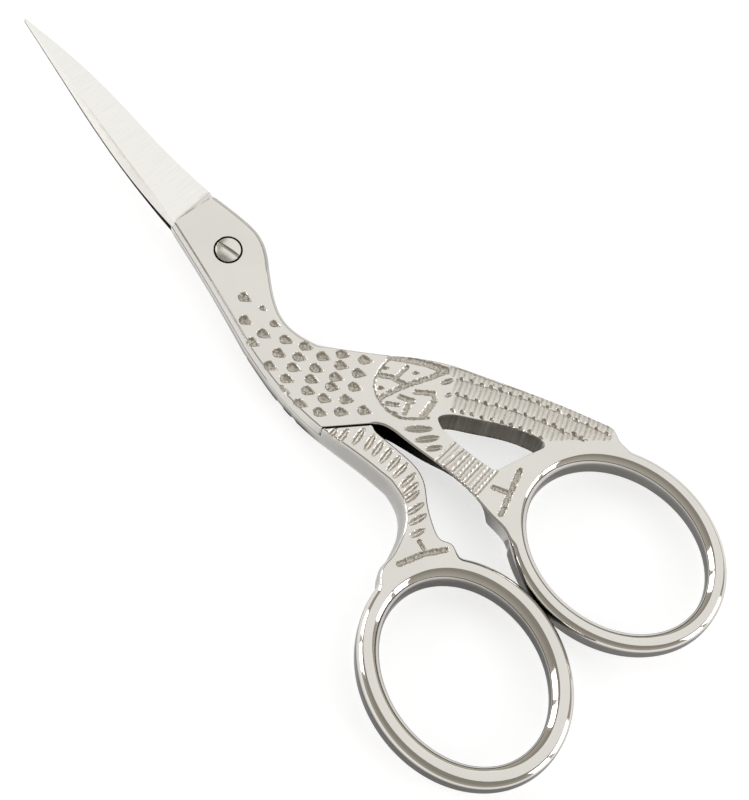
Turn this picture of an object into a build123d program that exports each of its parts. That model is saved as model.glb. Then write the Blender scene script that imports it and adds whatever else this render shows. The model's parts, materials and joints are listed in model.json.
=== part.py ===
from build123d import *
import os
from math import atan2, cos, radians, sin, sqrt

# Stork embroidery scissors, lying closed: two steel halves that cross at one screw.
# +Y runs along the blades to the tips, +X towards the front half's bow, +Z up from the table.
# Outlines are given about the pivot axis. The halves meet in one plane, half way up.

os.makedirs("parts", exist_ok=True)

# Lengths along the scissors, from the pivot axis
blade_reach = 34.0
ricasso_reach = 6.0
bow_drop = 49.0

# Thicknesses, from the plane where the halves meet to the outer face
pivot_half = 1.62
body_half = 2.26
bow_end_half = 1.42
blade_half = 1.42
blade_width = 5.3

# Finger rings: half the width and length of the hole, the ring's width and the lean of the oval
hole_half_width = 7.86
hole_half_length = 9.92
front_ring_width = 2.0
back_ring_width = 2.36
front_lean = 9.5
back_lean = 8.5
bow_gap = 0.1
bow_contact_offset = 0.15

# Running gaps between the two halves
lap_gap = 0.06
shoulder_gap = 0.2

# Pivot screw
screw_radius = 0.95
screw_running_clearance = 0.05
thread_depth = 0.08
head_radius = 1.42
head_side_clearance = 0.07
head_seat_clearance = 0.03
head_sink = 0.6
head_rim_height = 0.45
head_dome = 0.5
slot_width = 0.34
slot_depth = 0.38
slot_turn = 15.6
screw_end_chamfer = 0.15

# How far a cutting tool runs past what it cuts
overrun = 2.0

# Where the thickness starts to grow below the pivot, is full, and starts to fall
swell_start_share = 0.02
swell_end_share = 0.33
fall_start_share = 0.80
profile_blend_radius = 60.0
window_corner_radius = 0.5

# Outline points: (across, down from the pivot) as shares of bow_spread and bow_drop
neck_left_shares = [(-0.363, 0.034), (-0.503, 0.186)]
breast_shares = [(-0.503, 0.186), (-0.557, 0.304), (-0.513, 0.424), (-0.392, 0.545), (-0.352, 0.602)]
leg_back_shares = [(-0.352, 0.602), (-0.413, 0.653), (-0.580, 0.691), (-0.842, 0.719)]
heel_shares = [(-0.842, 0.719), (-0.965, 0.725), (-1.045, 0.738), (-1.100, 0.752)]
shoulder_right_shares = [(0.363, -0.028), (0.373, 0.004), (0.324, 0.044), (0.188, 0.090)]
nape_shares = [(0.188, 0.090), (0.019, 0.150), (-0.037, 0.184), (-0.044, 0.218), (0.063, 0.287)]
back_shares = [(0.063, 0.287), (0.296, 0.341), (0.548, 0.395), (0.877, 0.468), (1.145, 0.557)]
tail_top_shares = [(1.145, 0.557), (1.347, 0.630), (1.600, 0.728), (1.745, 0.790)]
tail_end_shares = [(1.745, 0.790), (1.770, 0.808), (1.738, 0.834), (1.752, 0.858), (1.830, 0.905)]
notch_share = (-0.092, 0.483)
stop_outer_share = (-0.513, 0.424)
front_leg_shares = [(0.208, 0.730), (0.184, 0.678), (0.101, 0.601), (0.046, 0.545), (-0.020, 0.500), (-0.092, 0.483)]
front_foot_shares = [(0.152, 0.872), (0.190, 0.850), (0.217, 0.828), (0.210, 0.800), (0.205, 0.770), (0.208, 0.730)]
back_leg_shares = [(-0.107, 0.499), (-0.058, 0.565), (-0.038, 0.620), (-0.075, 0.648), (-0.194, 0.687), (-0.313, 0.738)]
back_foot_shares = [(-0.313, 0.738), (-0.328, 0.764), (-0.281, 0.781), (-0.302, 0.809), (-0.290, 0.840)]
window_top_shares = [(0.465, 0.556), (0.585, 0.572), (0.707, 0.601), (0.881, 0.645), (1.017, 0.685), (1.115, 0.725)]
window_foot_shares = [(1.115, 0.748), (0.813, 0.733), (0.548, 0.722)]
window_leg_shares = [(0.548, 0.722), (0.470, 0.655), (0.420, 0.585)]

# Where the outline meets the blade's spine side and edge side, as shares of blade_width
root_spine_share = -0.465
root_edge_share = 0.528

# The inner wall of the front leg leans in towards the back: the same corners at the two faces
leaning_front_shares = [(-0.10, 0.478), (0.035, 0.540), (0.170, 0.675), (0.197, 0.752), (0.10, 0.790)]
leaning_back_shares = [(-0.05, 0.478), (0.105, 0.545), (0.265, 0.665), (0.334, 0.748), (0.240, 0.782)]
leaning_far_share = -0.35

# Where the outlines run into the crests of the rings, as a share of the hole's half length
ring_meet_share = 0.38

# Blade sections from the root to the tip: the place along the blade as a share of its length,
# then spine, bevel line and cutting edge as shares of blade_width, then the heights of spine,
# bevel line and cutting edge as shares of blade_half
blade_station_shares = [
    (-0.04, -0.470, -0.420, 0.540, 0.60, 1.00, 0.85),
    (0.25, -0.448, -0.335, 0.430, 0.45, 0.83, 0.36),
    (0.50, -0.320, -0.213, 0.395, 0.32, 0.66, 0.28),
    (0.75, -0.135, -0.080, 0.296, 0.21, 0.47, 0.21),
    (1.00, 0.050, 0.060, 0.083, 0.10, 0.20, 0.14),
]

# Rounding of a ring: (level as a share of the half thickness, inset as a share of the ring's width)
ring_outer_shares = [(0, 0), (0.50, 0.03), (0.78, 0.12), (1.03, 0.31)]
ring_inner_shares = [(0, 0), (0.45, 0.03), (0.72, 0.18), (1.03, 0.45)]


def oval_reach(along, across, lean):
    """Half the extent of an oval in one direction when it leans by an angle."""
    return sqrt((along * cos(radians(lean))) ** 2 + (across * sin(radians(lean))) ** 2)


# The two rings lie beside each other with a small gap between them
front_oval = (hole_half_width + front_ring_width, hole_half_length + front_ring_width)
back_oval = (hole_half_width + back_ring_width, hole_half_length + back_ring_width)
front_oval_reach = oval_reach(front_oval[0], front_oval[1], front_lean)
back_oval_reach = oval_reach(back_oval[0], back_oval[1], back_lean)
front_bow_x = bow_contact_offset + bow_gap / 2 + front_oval_reach
back_bow_x = bow_contact_offset - bow_gap / 2 - back_oval_reach
bow_spread = (front_bow_x - back_bow_x) / 2

# The origin lies in the middle of the whole outline, on the table
far_reach = bow_drop + oval_reach(back_oval[1], back_oval[0], back_lean)
pivot_x = -(front_bow_x + front_oval_reach + back_bow_x - back_oval_reach) / 2
pivot_y = (far_reach - blade_reach) / 2
mid_plane = Plane(origin=(pivot_x, pivot_y, body_half))
cut_reach = far_reach + blade_reach

# The bows grow thinner towards their far end
fall_start = fall_start_share * bow_drop
bow_fall = (body_half - bow_end_half) / (far_reach - fall_start)


def from_shares(shares):
    """Outline points in millimetres about the pivot axis."""
    return [(across * bow_spread, -down * bow_drop) for across, down in shares]


def shifted(point, angle, along, aside):
    """A point moved along a direction, and square to it with left as positive."""
    return (
        point[0] + along * cos(angle) - aside * sin(angle),
        point[1] + along * sin(angle) + aside * cos(angle),
    )


def angle_between(start, end):
    """Direction of a line in radians."""
    return atan2(end[1] - start[1], end[0] - start[0])


def outline(*runs):
    """A closed face from runs that meet at corners: smooth curves, or lines for two points."""
    with BuildSketch() as sketch:
        with BuildLine():
            for run in runs:
                if len(run) == 2:
                    Line(*run)
                else:
                    Spline(*run)
        make_face()
    return sketch.sketch


def one_side_of(start, end, aside):
    """A wide face on one side of a line, the left of its direction where aside is positive."""
    angle = angle_between(start, end)
    far_start = shifted(start, angle, -cut_reach, 0)
    far_end = shifted(start, angle, cut_reach, 0)
    with BuildSketch() as sketch:
        Polygon(
            far_start,
            far_end,
            shifted(far_end, angle, 0, aside * cut_reach),
            shifted(far_start, angle, 0, aside * cut_reach),
            align=None,
        )
    return sketch.sketch


def handle_half(reach):
    """Half the thickness of the bows at a distance down from the pivot axis."""
    return body_half - bow_fall * (reach - fall_start)


def thickness_envelope():
    """A wide solid with the side view's thickness, the same above and below the middle."""
    far = far_reach + overrun
    upper = [
        (-far, 0),
        (-far, handle_half(far)),
        (-fall_start, body_half),
        (-swell_end_share * bow_drop, body_half),
        (-swell_start_share * bow_drop, pivot_half),
        (blade_reach + overrun, pivot_half),
        (blade_reach + overrun, 0),
    ]
    blends = [0, 0, profile_blend_radius, profile_blend_radius, profile_blend_radius, 0, 0]
    side_plane = Plane(origin=mid_plane.origin, x_dir=(0, 1, 0), z_dir=(1, 0, 0))
    with BuildPart() as envelope:
        with BuildSketch(side_plane):
            with BuildLine():
                FilletPolyline(*upper, radius=blends, close=True)
            make_face()
            mirror(about=Plane.XZ)
        extrude(amount=cut_reach, both=True)
    return envelope.part


def oval_solid(bow_x, ring_width, lean, levels, grow):
    """Loft an oval through a ring's levels of rounding; grow is 1 for the hole and -1 outside."""
    outer = 0 if grow > 0 else ring_width
    lower = [(-level, inset) for level, inset in reversed(levels[1:])]
    with BuildPart() as oval:
        for level, inset in lower + levels:
            change = outer + grow * inset * ring_width
            level_plane = Plane(
                origin=(pivot_x + bow_x, pivot_y - bow_drop, body_half + level * handle_half(bow_drop)),
                x_dir=(1, 0, 0),
                z_dir=(0, -level * bow_fall, 1),
            )
            with BuildSketch(level_plane):
                Ellipse(hole_half_width + change, hole_half_length + change, rotation=lean)
        loft(ruled=True)
    return oval.part


def blade_solid(side):
    """Loft one blade; side is 1 for the front blade and -1 for the back one."""
    blade_length = blade_reach - ricasso_reach
    with BuildPart() as blade:
        for along, spine, bevel, edge, spine_rise, bevel_rise, edge_rise in blade_station_shares:
            bevel_width = bevel - spine
            back, line, keen = (spine, bevel, edge) if side > 0 else (edge, edge - bevel_width, spine)
            corners = [(keen, 0), (keen, edge_rise), (line, bevel_rise), (back, spine_rise), (back, 0)]
            section_plane = Plane(
                origin=(pivot_x, pivot_y + ricasso_reach + along * blade_length, body_half),
                x_dir=(1, 0, 0),
                z_dir=(0, -1, 0),
            )
            points = [(x * blade_width, side * (lap_gap / 2 + z * blade_half)) for x, z in corners]
            with BuildSketch(section_plane):
                Polygon(*points, align=None)
        loft()
    return blade.part


def leaning_cut(front_shares, back_shares, far_share):
    """A cutter whose side wall leans from one line at the front face to another at the back."""
    ends = [(far_share, front_shares[-1][1]), (far_share, front_shares[0][1])]
    front_points = from_shares(front_shares + ends)
    back_points = from_shares(back_shares + ends)
    with BuildPart() as cutter:
        for level in (-1, 1):
            reach = 1 + overrun / body_half
            share = (1 + level * reach) / 2
            points = [
                (xb + share * (xf - xb), yb + share * (yf - yb))
                for (xf, yf), (xb, yb) in zip(front_points, back_points)
            ]
            with BuildSketch(mid_plane.offset(level * (body_half + overrun))):
                Polygon(*points, align=None)
        loft(ruled=True)
    return cutter.part


# Outline runs in millimetres
root_spine_point = (root_spine_share * blade_width, ricasso_reach)
root_edge_point = (root_edge_share * blade_width, ricasso_reach)
neck_left = [root_spine_point] + from_shares(neck_left_shares)
breast = from_shares(breast_shares)
leg_back = from_shares(leg_back_shares)
heel = from_shares(heel_shares)
shoulder_right = [root_edge_point] + from_shares(shoulder_right_shares)
nape = from_shares(nape_shares)
back_leg = from_shares(back_leg_shares)
back_foot = from_shares(back_foot_shares)
front_leg = from_shares(front_leg_shares)
front_foot = from_shares(front_foot_shares)
tail_end = from_shares(tail_end_shares)
window_top = from_shares(window_top_shares)
window_foot = from_shares(window_foot_shares)
window_leg = from_shares(window_leg_shares)
notch, stop_outer = from_shares([notch_share, stop_outer_share])
lap_top = nape[-1]

# The outlines end inside the rings, at their crests
ring_meet = -bow_drop + hole_half_length * ring_meet_share
back_crest = hole_half_width + back_ring_width / 2
front_crest = hole_half_width + front_ring_width / 2
back_ring_ends = [(back_bow_x + back_crest, ring_meet), (back_bow_x - back_crest, ring_meet)]
front_ring_ends = [(front_bow_x + front_crest, ring_meet), (front_bow_x - front_crest, ring_meet)]

neck_and_leg = outline(
    [neck_left[0], shoulder_right[0]],
    shoulder_right,
    nape,
    [lap_top, notch],
    [notch, back_leg[0]],
    back_leg,
    back_foot,
    [back_foot[-1], back_ring_ends[0]],
    back_ring_ends,
    [back_ring_ends[1], heel[-1]],
    list(reversed(heel)),
    list(reversed(leg_back)),
    list(reversed(breast)),
    list(reversed(neck_left)),
)
body = outline(
    [notch, lap_top],
    from_shares(back_shares),
    from_shares(tail_top_shares),
    tail_end,
    [tail_end[-1], front_ring_ends[0]],
    front_ring_ends,
    [front_ring_ends[1], front_foot[0]],
    front_foot,
    front_leg,
)
window = outline(
    window_top,
    [window_top[-1], window_foot[0]],
    window_foot,
    window_leg,
    [window_leg[-1], window_top[0]],
)

# The halves part along a stop line on the front layer and a lap line on the back layer
above_stop = one_side_of(stop_outer, notch, 1)
stop_angle = angle_between(stop_outer, notch)
lap_angle = angle_between(notch, lap_top)
below_stop = one_side_of(
    shifted(stop_outer, stop_angle, 0, -shoulder_gap), shifted(notch, stop_angle, 0, -shoulder_gap), -1
)
left_of_lap = one_side_of(
    shifted(notch, lap_angle, 0, shoulder_gap), shifted(lap_top, lap_angle, 0, shoulder_gap), 1
)

envelope = thickness_envelope()
front_bow = oval_solid(front_bow_x, front_ring_width, front_lean, ring_outer_shares, -1)
front_hole = oval_solid(front_bow_x, front_ring_width, front_lean, ring_inner_shares, 1)
back_bow = oval_solid(back_bow_x, back_ring_width, -back_lean, ring_outer_shares, -1)
back_hole = oval_solid(back_bow_x, back_ring_width, -back_lean, ring_inner_shares, 1)
leaning_wall = leaning_cut(leaning_front_shares, leaning_back_shares, leaning_far_share)
front_blade = blade_solid(1)
back_blade = blade_solid(-1)

# Front half: the upper layer at the pivot and neck, the whole thickness in body, leg and bow
with BuildPart() as front_half:
    with BuildSketch(mid_plane):
        add(body)
    extrude(amount=body_half + overrun, both=True)
    with BuildSketch(mid_plane.offset(lap_gap / 2)):
        add(neck_and_leg)
        add(above_stop, mode=Mode.INTERSECT)
    extrude(amount=body_half + overrun)
    add(front_bow)
    add(envelope, mode=Mode.INTERSECT)
    add(front_hole, mode=Mode.SUBTRACT)
    with BuildSketch(mid_plane):
        add(window)
        fillet(vertices(), radius=window_corner_radius)
    extrude(amount=body_half + overrun, both=True, mode=Mode.SUBTRACT)
    add(leaning_wall, mode=Mode.SUBTRACT)
    add(front_blade)
    with Locations(mid_plane.offset(pivot_half)):
        CounterBoreHole(
            radius=screw_radius + screw_running_clearance,
            counter_bore_radius=head_radius + head_side_clearance,
            counter_bore_depth=head_sink,
        )

front_half.part.label = "front_half"
export_step(front_half.part, "parts/front_half.step")

# Back half: the lower layer at the pivot and neck, the whole thickness in its leg and bow
with BuildPart() as back_half:
    with BuildSketch(mid_plane.offset(-lap_gap / 2)):
        add(left_of_lap)
        add(below_stop)
        add(neck_and_leg, mode=Mode.INTERSECT)
    extrude(amount=-(body_half + overrun))
    with BuildSketch(mid_plane.offset(-lap_gap / 2)):
        add(neck_and_leg)
        add(below_stop, mode=Mode.INTERSECT)
    extrude(amount=body_half + overrun)
    add(back_bow)
    add(envelope, mode=Mode.INTERSECT)
    add(back_hole, mode=Mode.SUBTRACT)
    add(back_blade)
    with Locations(mid_plane.offset(-lap_gap / 2)):
        Hole(radius=screw_radius - thread_depth)

back_half.part.label = "back_half"
export_step(back_half.part, "parts/back_half.step")

# Pivot screw: domed slotted head, shank that the front half turns on, end threaded in the back half
head_seat = pivot_half - head_sink + head_seat_clearance
with BuildPart() as pivot_screw:
    with BuildSketch(Plane(origin=mid_plane.origin, x_dir=(1, 0, 0), z_dir=(0, -1, 0))):
        with BuildLine():
            Polyline(
                (0, -pivot_half),
                (screw_radius - screw_end_chamfer, -pivot_half),
                (screw_radius, screw_end_chamfer - pivot_half),
                (screw_radius, head_seat),
                (head_radius, head_seat),
                (head_radius, head_seat + head_rim_height),
            )
            dome_top = head_seat + head_rim_height + head_dome
            RadiusArc(
                (head_radius, head_seat + head_rim_height),
                (0, dome_top),
                -(head_radius**2 + head_dome**2) / (2 * head_dome),
            )
            Line((0, dome_top), (0, -pivot_half))
        make_face()
    revolve(axis=Axis(mid_plane.origin, (0, 0, 1)))
    with BuildSketch(mid_plane.offset(dome_top - slot_depth)):
        Rectangle(slot_width, 2 * (head_radius + overrun), rotation=slot_turn)
    extrude(amount=slot_depth + overrun, mode=Mode.SUBTRACT)

pivot_screw.part.label = "pivot_screw"
export_step(pivot_screw.part, "parts/pivot_screw.step")
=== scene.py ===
import json
import math

import bpy
import numpy as np
from mathutils import Matrix, Vector
from mathutils.geometry import delaunay_2d_cdt
from mathutils.kdtree import KDTree


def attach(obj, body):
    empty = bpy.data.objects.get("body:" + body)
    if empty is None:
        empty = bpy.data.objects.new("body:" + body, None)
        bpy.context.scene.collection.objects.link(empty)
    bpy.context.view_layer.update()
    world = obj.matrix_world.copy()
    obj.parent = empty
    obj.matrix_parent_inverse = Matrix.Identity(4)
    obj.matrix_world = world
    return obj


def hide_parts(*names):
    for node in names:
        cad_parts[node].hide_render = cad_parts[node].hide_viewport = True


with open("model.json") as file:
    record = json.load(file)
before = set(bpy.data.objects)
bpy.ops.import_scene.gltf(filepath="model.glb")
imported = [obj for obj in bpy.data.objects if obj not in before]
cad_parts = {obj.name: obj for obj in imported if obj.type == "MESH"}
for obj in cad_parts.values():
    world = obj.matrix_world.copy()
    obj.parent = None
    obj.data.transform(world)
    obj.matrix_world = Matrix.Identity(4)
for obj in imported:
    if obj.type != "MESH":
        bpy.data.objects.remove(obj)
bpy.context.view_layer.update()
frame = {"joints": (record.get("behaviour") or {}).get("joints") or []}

# Everything about the scissors is in millimetres about the pivot axis, with z from the plane
# where the halves meet, +y to the tips and +x to the front half's ring.
MM = 0.001
PIVOT = np.array(frame["joints"][0]["pos_m"])
# Spacing of points: along outlines, over the outer faces, where they are carved, and over the lap
STEP, FACE_GRID, FINE_GRID, LAP_GRID = 0.13, 0.35, 0.1, 0.6
# Heights over the lap plane: lap face, flat at the screw, body, and blade
LAP, PIVOT_HALF, BODY_HALF, BLADE_HALF = 0.03, 1.62, 2.26, 1.42
RICASSO, BLADE_LENGTH, BLADE_WIDTH = 6.0, 28.0, 5.3
# Where the outline goes over into the blades
ROOT_Y, ROOT_LEFT, ROOT_RIGHT = 5.98, -2.455, 2.8
# Rings: centre, half sizes and lean of the outer oval, then the width
FRONT_OVAL = ((10.122, -49.0), (9.85, 11.91), math.radians(9.5))
BACK_OVAL = ((-10.169, -49.0), (10.21, 12.27), math.radians(-8.5))
FRONT_RING, BACK_RING = 2.0, 2.36
# Corners at the stop and the lap
NOTCH, LAP_TOP = (-0.933, -23.667), (0.639, -14.063)
STOP_OUTER = (-5.205, -20.776)
BACK_NOTCH = (-1.15, -23.762)
BACK_STOP_OUTER = (-5.17, -21.04)
UNDER_STOP = (-0.975, -23.88)
BACK_LAP_GAP = 0.2
# Recess and height of the shadow line between the layers of the neck
NOTCH_DEPTH, NOTCH_HEIGHT = 0.07, 0.09
HEEL_END = (-12.6, -38.6)  # inside the ring, so that the heel's outline crosses the oval

# Side view: places towards the rings where its lines meet, and the fall over the rings
SIDE_PLACES, RING_FALL = [-38, 0.98, 16.17, 39.2, 66], 0.84 / (61.238 - 39.2)
# Samples over which its corners are blended, and their spacing
BLEND, SIDE_STEP = 50, 0.05

# Facet between flat and blade: its ends across, then its two borders and the row of points just past
# the second, each by its y at the left end and its rise to the right end
FACET_LEFT, FACET_RIGHT = -2.03, 2.69
FLAT_EDGE, BLADE_EDGE, BLADE_ROW = (5.81, -0.29), (5.9, 0.44), (5.92, 0.42)
HOLLOW = 0.05

# Outline runs
SHOULDER = [(ROOT_RIGHT, ROOT_Y), (3.683, 1.372), (3.784, -0.196), (3.287, -2.156), (1.907, -4.41)]
NAPE = [(1.907, -4.41), (0.193, -7.35), (-0.375, -9.016), (-0.446, -10.682), LAP_TOP]
BACK = [LAP_TOP, (3.003, -16.709), (5.56, -19.355), (8.898, -22.932), (11.617, -27.293)]
TAIL = [(11.617, -27.293), (13.666, -30.87), (16.233, -35.672), (17.704, -38.71)]
TAIL_END = [(17.704, -38.71), (17.958, -39.592), (17.633, -40.866), (17.775, -42.042), (18.566, -44.345)]
FRONT_FOOT = [
    (1.542, -42.728), (1.928, -41.65), (2.202, -40.572), (2.131, -39.2), (2.08, -37.73), (2.11, -35.77),
]
FRONT_LEG = [(2.11, -35.77), (1.867, -33.222), (1.025, -29.449), (0.467, -26.705), (-0.203, -24.5), NOTCH]
BREAST = [(-5.103, -9.114), (-5.651, -14.896), STOP_OUTER, (-3.977, -26.705), (-3.571, -29.498)]
LEG_BACK = [(-3.571, -29.498), (-4.19, -31.997), (-5.884, -33.859), (-8.543, -35.231)]
HEEL = [(-8.543, -35.231), (-9.791, -35.525), (-10.602, -36.162), (-11.16, -36.848)]
NECK = [(ROOT_LEFT, ROOT_Y), (-3.683, -1.666), (-5.103, -9.114)]
BACK_LEG = [
    (-1.086, -24.451), (-0.588, -27.685), (-0.386, -30.38), (-0.761, -31.752), (-1.968, -33.663),
    (-3.176, -36.162),
]
BACK_FOOT = [
    (-3.176, -36.162), (-3.328, -37.436), (-2.851, -38.269), (-3.064, -39.641), (-2.942, -41.16),
]
# Runs of the window's border, each as far as the next one's first point
WINDOW = [
    [(4.718, -27.244), (5.935, -28.028), (7.173, -29.449), (8.938, -31.605), (10.318, -33.565)],
    [(11.312, -35.525)],
    [(11.312, -36.652), (8.248, -35.917)],
    [(5.56, -35.378), (4.768, -32.095)],
    [(4.261, -28.665)],
]

# How far the inner wall of the front leg runs in towards the back face: (y, reach)
FRONT_LEAN = [
    (-45.5, 0), (-44.2, 0.3), (-42.8, 0.33), (-41.4, 0.3), (-39.3, 0.45), (-38.2, 0.45),
    (-37.4, 0.95), (-36.8, 1.35), (-35.8, 1.5), (-34.5, 1.45), (-32.6, 1.4), (-31.6, 1.28), (-29.7, 0.92),
    (-27.2, 0.6), (-25, 0.25), (-23.6, 0),
]
# How far the top of the outer wall of the back leg runs in: (y, reach)
BACK_LEAN = [
    (-37.5, 0), (-36, 0.25), (-35, 0.5), (-33.9, 0.55), (-32.8, 0.5), (-31.7, 0.45), (-30, 0.3),
    (-28.2, 0.2), (-24, 0.12), (-21, 0),
]

# Blade stations: place along the blade, spine, bevel line and edge across, then their heights
STATIONS = np.array([
    (-0.04, -0.47, -0.395, 0.54, 0.42, 1.00, 0.85),
    (0.25, -0.448, -0.318, 0.43, 0.2, 0.83, 0.36),
    (0.5, -0.32, -0.205, 0.395, 0.12, 0.66, 0.28),
    (0.75, -0.135, -0.078, 0.296, 0.08, 0.47, 0.21),
    (1.00, 0.05, 0.06, 0.083, 0.06, 0.2, 0.14),
])

# Rounding of the rings at each level of their height: inset as a share of the ring's width
LEVELS = np.array([0, 0.25, 0.42, 0.55, 0.65, 0.74, 0.82, 0.89, 0.94, 0.972, 0.99, 1])
RING_OUTER = np.array([0, 0, 0, 0.006, 0.022, 0.055, 0.1, 0.152, 0.205, 0.25, 0.295, 0.36])
RING_INNER = np.array([0, 0, 0.003, 0.02, 0.06, 0.12, 0.183, 0.25, 0.305, 0.352, 0.4, 0.465])

# Carving. TURN is from the photograph's right and up to the part's axes.
TURN = math.radians(50.45 - 90)
SCALES = [
    (-2.07, -5.26), (-1.39, -7.31), (-1.57, -9.41), (-3.64, -7.26), (-3.14, -9.57), (-4.59, -9.58),
    (-1.78, -11.5), (-0.68, -13.3), (-3.29, -12.19), (-1.94, -13.78), (-0.06, -15.27), (1.66, -16.29),
    (3.05, -18.2), (-4.88, -12.68), (-3.15, -14.31), (-1.43, -15.81), (0.76, -17.12), (1.6, -18.89),
    (-4.46, -14.8), (-2.55, -16.42), (-0.47, -17.79), (-5.62, -15.53), (-3.64, -17.13), (-1.45, -18.33),
    (0.33, -19.79), (-5.12, -17.68), (-2.86, -18.82), (-1.22, -20.25), (-4.18, -19.64), (-2.46, -20.93),
    (-0.55, -22.3),
]
THIGH = [
    (-4.78, -22.05), (-4, -22.91), (-2.85, -23.95), (-2.31, -25.12), (-2.09, -26.11), (-1.97, -27.21),
    (-1.9, -28.36), (-1.88, -29.33), (-2.01, -30.57), (-2.42, -31.44), (-2.89, -32.14), (-3.41, -33.3),
    (-3.92, -34.31), (-4.83, -35.37),
]
# Leaves: centre, direction, length, width
LEAVES = [
    ((7.94, -25.06), (0.95, 0.3), 1.75, 0.62),
    ((7.12, -26.24), (0.95, 0.25), 1.1, 0.5),
    ((2.37, -27.1), (1, 0), 3.4, 0.8),
    ((2.35, -28.45), (0.99, 0.13), 3.05, 0.78),
    ((2.25, -29.63), (0.99, 0.13), 2.1, 0.72),
]
FLUTE_LOW = [
    (1.72, -30.79), (1.85, -31.72), (1.91, -32.65), (1.97, -33.58), (2.17, -34.28), (2.23, -35.27),
    (2.36, -36.05),
]
FLUTE_HIGH = [
    (4.39, -30.49), (4.53, -31.55), (4.8, -32.32), (5, -33.02), (5.2, -33.86), (5.4, -34.71),
    (5.68, -35.47),
]
# Grooves: points, half width, depth
GROOVES = [
    ([(5.23, -19.48), (3.92, -19.68), (2.63, -20.17), (1.88, -20.81), (1.49, -21.59), (1.25, -22.65),
      (1.24, -23.6), (1.45, -24.44), (1.73, -25.05), (2.2, -25.59), (3.07, -26.29), (4, -26.9)],
     0.17, 0.15),
    ([(5.23, -19.48), (6.03, -20.34), (6.8, -21.25), (7.76, -22.54), (8.73, -24.15)], 0.3, 0.24),
    ([(8.43, -24.11), (6.81, -23.64), (4.57, -22.82), (3.15, -22.45), (1.67, -22.16)], 0.23, 0.22),
    ([(3.13, -20.29), (3.91, -21.26), (4.45, -22.65)], 0.22, 0.2),
    ([(4.26, -21.47), (5.83, -21.35)], 0.2, 0.18),
    ([(1.62, -23), (2.46, -23.88)], 0.2, 0.2),
    ([(3.2, -23.33), (3.91, -24.52)], 0.24, 0.2),
    ([(3.43, -24.46), (2.43, -24.91)], 0.24, 0.2),
    ([(4.71, -23.9), (6.07, -25.2), (5.77, -25.9)], 0.22, 0.2),
    ([(5.26, -25.91), (3.78, -26.31)], 0.3, 0.2),
    ([(7.49, -36.92), (3.01, -39.13)], 0.33, 0.26),
    ([(4.25, -36.49), (4.92, -37.71)], 0.3, 0.22),
    ([(-8.35, -36.67), (-5.81, -37.38), (-3.73, -38.48)], 0.33, 0.26),
    ([(-5.24, -36.11), (-5.46, -37.13)], 0.24, 0.2),
]
WING_PITS = [(4.1, -20.1), (6.18, -22.45), (2.33, -21.45), (1.63, -24.39)]

# Tail feathers: directions along and across the tail, first pit and pitch of the pits, then for the
# three rows the line across, and where each ends
TAIL_ALONG, TAIL_ACROSS = np.array([0.53, -0.848]), np.array([0.848, 0.53])
TAIL_START, TAIL_PITCH = 26.95, 1.03
TAIL_LINES = [
    ([26.5, 29, 32, 34.7, 37.5], [-9.29, -9.08, -8.91, -8.84, -9.22]),
    ([26.5, 29, 32.2, 35, 37.9, 41], [-7.54, -7.49, -7.29, -7.34, -7.65, -7.75]),
    ([26.5, 29.2, 32.3, 35.2, 38.5, 42.5], [-5.83, -5.69, -5.59, -5.72, -6, -6.5]),
]
TAIL_ENDS = (37.2, 40.4, 42.6)
# The feathers' inner and outer border
TAIL_FLOOR = ([36, 36.8, 39.1, 41, 42.85, 44], [-12, -9.55, -8.45, -7.9, -7.25, -6])
TAIL_RIM = ([24, 26, 29, 35.9, 38.85, 42.2], [-4.62, -4.61, -4.74, -4.85, -5.14, -5.5])

# Length, width and depth of the repeated cuts
SCALE_CUT, PIT_CUT = (1.58, 1.12, 0.3), (0.9, 0.5, 0.22)
FLUTE_END_CUT, TAIL_CUT = (0.6, 0.42, 0.26), (0.62, 0.48, 0.3)
THIGH_LONG, THIGH_SHORT, THIGH_WIDTH, THIGH_DEPTH = 2.65, 2.1, 0.74, 0.2
LEAF_DEPTH = 0.22

# Bores as (radius, height) from the face to the lap; the front one seats the screw's head
FRONT_BORE = (
    (1.52, PIVOT_HALF), (1.5, PIVOT_HALF - 0.02), (1.49, PIVOT_HALF - 0.05), (1.49, 1.03),
    (1.02, 1.02), (1, 1), (1, LAP),
)
BACK_BORE = ((1.06, PIVOT_HALF), (0.985, PIVOT_HALF - 0.07), (0.97, PIVOT_HALF - 0.12), (0.97, LAP))
# Screw from the head's edge down, its dome, and its slot
SCREW_EDGE, SCREW_END = 1.3, -1.62
SCREW_SIDE = (
    (1.325, 1.585), (1.335, 1.55), (1.335, 1.07), (1.33, 1.05), (0.95, 1.05), (0.95, -1.47),
    (0.8, -1.615), (0.78, SCREW_END),
)
DOME_TOP, DOME_RISE, DOME_RADIUS = 1.9, 0.33, 1.42
SLOT_TURN, SLOT_HALF, SLOT_FLOOR = math.radians(15.6), 0.178, 1.5


def bends(t, p):
    """Second derivatives of the natural cubic curve through points p at places t."""
    n = len(t)
    h = np.diff(t)
    a = np.zeros((n, n))
    r = np.zeros((n,) + p.shape[1:])
    a[0, 0] = a[-1, -1] = 1
    for i in range(1, n - 1):
        a[i, i - 1 : i + 2] = h[i - 1], 2 * (h[i - 1] + h[i]), h[i]
        r[i] = 6 * ((p[i + 1] - p[i]) / h[i] - (p[i] - p[i - 1]) / h[i - 1])
    return np.linalg.solve(a, r)


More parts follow.
